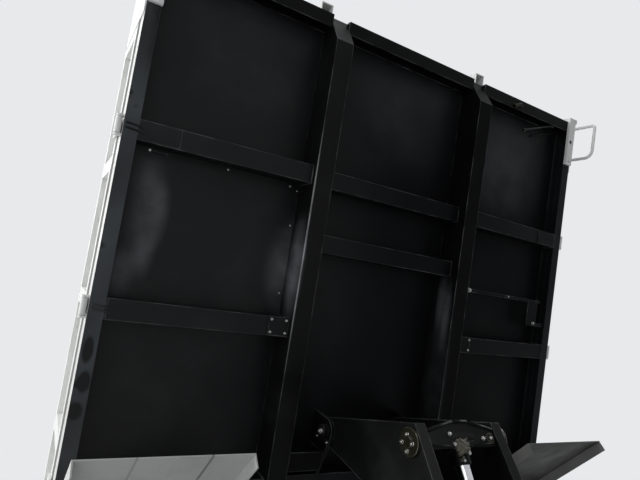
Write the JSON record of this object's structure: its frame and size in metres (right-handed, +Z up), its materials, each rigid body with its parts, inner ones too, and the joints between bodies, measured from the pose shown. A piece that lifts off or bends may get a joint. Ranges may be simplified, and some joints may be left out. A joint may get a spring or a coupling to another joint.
{
  "type": "tipping truck body with hoist",
  "caption": "Drop-side tipping body of a small dump truck, raised on its rear hinge, with underside crossmembers, mudguards, subframe and a lever hoist with cylinder.",
  "frame": {"origin": "under the tipping pivot, on the bottom face of the rear crossmember, where the subframe rests on the truck's chassis", "axes": "+X across to the truck's left, +Y rearward, +Z up; the body leans on its rear hinge with its front raised"},
  "size_m": [1.942, 3.4483, 2.8941],
  "materials": {
    "white_paint": "glossy white enamel",
    "black_paint": "satin black chassis paint",
    "floor_paint": "satin black underside",
    "hoist_paint": "satin dark grey",
    "zinc": "yellow zinc plate",
    "chrome_rod": "hard chrome",
    "pad_rubber": "moulded"
  },
  "bodies": {
    "subframe": {"rear_crossmember": "black_paint", "front_crossmembers": "black_paint", "hinge_lugs": "black_paint", "hinge_pin_left": "zinc", "hinge_pin_right": "zinc", "rest_pads": "pad_rubber", "shear_plates_left": "black_paint", "shear_plates_right": "black_paint", "link_crossmember": "black_paint", "link_clevises": "black_paint", "link_base_pins": "zinc", "cylinder_cradle": "black_paint", "cylinder_base_pin": "zinc", "subframe_rail_left": "black_paint", "subframe_rail_right": "black_paint"},
    "tipping_body": {"floor_plate": "floor_paint", "sill_right": "black_paint", "sill_left": "black_paint", "side_rail_right": "black_paint", "side_rail_left": "black_paint", "outriggers_right": "black_paint", "outriggers_left": "black_paint", "centre_crossmembers": "black_paint", "front_rail": "black_paint", "headboard": "white_paint", "headboard_ribs": "white_paint", "front_post_right": "white_paint", "rear_post_right": "white_paint", "front_post_left": "white_paint", "rear_post_left": "white_paint", "step_loop_right": "white_paint", "step_loop_left": "white_paint", "gate_hinges_right": "white_paint", "gate_hinges_left": "white_paint", "mudguard_right": "white_paint", "mudguard_left": "white_paint", "mudguard_stays": "black_paint", "body_ear_right": "black_paint", "body_ear_left": "black_paint", "arm_brackets": "hoist_paint", "arm_pin": "zinc"},
    "side_gate_left": {"side_gate_left": "white_paint"},
    "side_gate_right": {"side_gate_right": "white_paint"},
    "tailgate": {"tailgate": "white_paint"},
    "lift_arm": {"lift_arm_left": "hoist_paint", "lift_arm_right": "hoist_paint", "arm_pivot_tube": "hoist_paint", "knee_flanges": "zinc"},
    "tension_links": {"tension_link_left": "hoist_paint", "tension_link_right": "hoist_paint"},
    "cylinder_barrel": {"cylinder_barrel": "hoist_paint", "cylinder_gland": "hoist_paint"},
    "cylinder_rod": {"cylinder_rod": "chrome_rod", "rod_eye": "hoist_paint", "rod_crosshead": "hoist_paint"}
  },
  "joints": [
    {"name": "body_tip", "type": "hinge", "parent": "subframe", "child": "tipping_body", "pos_m": [0, 0, 0.085], "axis": [1, 0, 0], "range_deg": [0, 50]},
    {"name": "left_gate_drop", "type": "hinge", "parent": "tipping_body", "child": "side_gate_left", "pos_m": [0.962, 0.0881, 0.15892], "axis": [0, 0.6428, -0.766], "range_deg": [0, 175]},
    {"name": "right_gate_drop", "type": "hinge", "parent": "tipping_body", "child": "side_gate_right", "pos_m": [-0.962, 0.0881, 0.15892], "axis": [0, -0.6428, 0.766], "range_deg": [0, 175]},
    {"name": "tailgate_swing", "type": "hinge", "parent": "tipping_body", "child": "tailgate", "pos_m": [0, 0.45982, 0.26197], "axis": [1, 0, 0], "range_deg": [0, 85]},
    {"name": "lift_arm_turn", "type": "hinge", "parent": "tipping_body", "child": "lift_arm", "pos_m": [0, -0.94903, 1.33424], "axis": [1, 0, 0], "range_deg": [-55.11, 0]},
    {"name": "link_turn", "type": "hinge", "parent": "subframe", "child": "tension_links", "pos_m": [0, -0.82587, 0.005], "axis": [1, 0, 0], "range_deg": [0, 74.95]},
    {"name": "cylinder_turn", "type": "hinge", "parent": "subframe", "child": "cylinder_barrel", "pos_m": [0, -1.22, -0.015], "axis": [1, 0, 0], "range_deg": [0, 82.32]},
    {"name": "rod_slide", "type": "slide", "parent": "cylinder_barrel", "child": "cylinder_rod", "axis": [0, -0.0886, 0.9961], "range_m": [-0.44013, 0]}
  ],
  "couplings": [
    {"joint": "lift_arm_turn", "follows": "body_tip", "ratio": -1.102},
    {"joint": "link_turn", "follows": "body_tip", "ratio": 1.4989},
    {"joint": "cylinder_turn", "follows": "body_tip", "ratio": 1.6462},
    {"joint": "rod_slide", "follows": "body_tip", "m_per_rad": -0.50424}
  ]
}
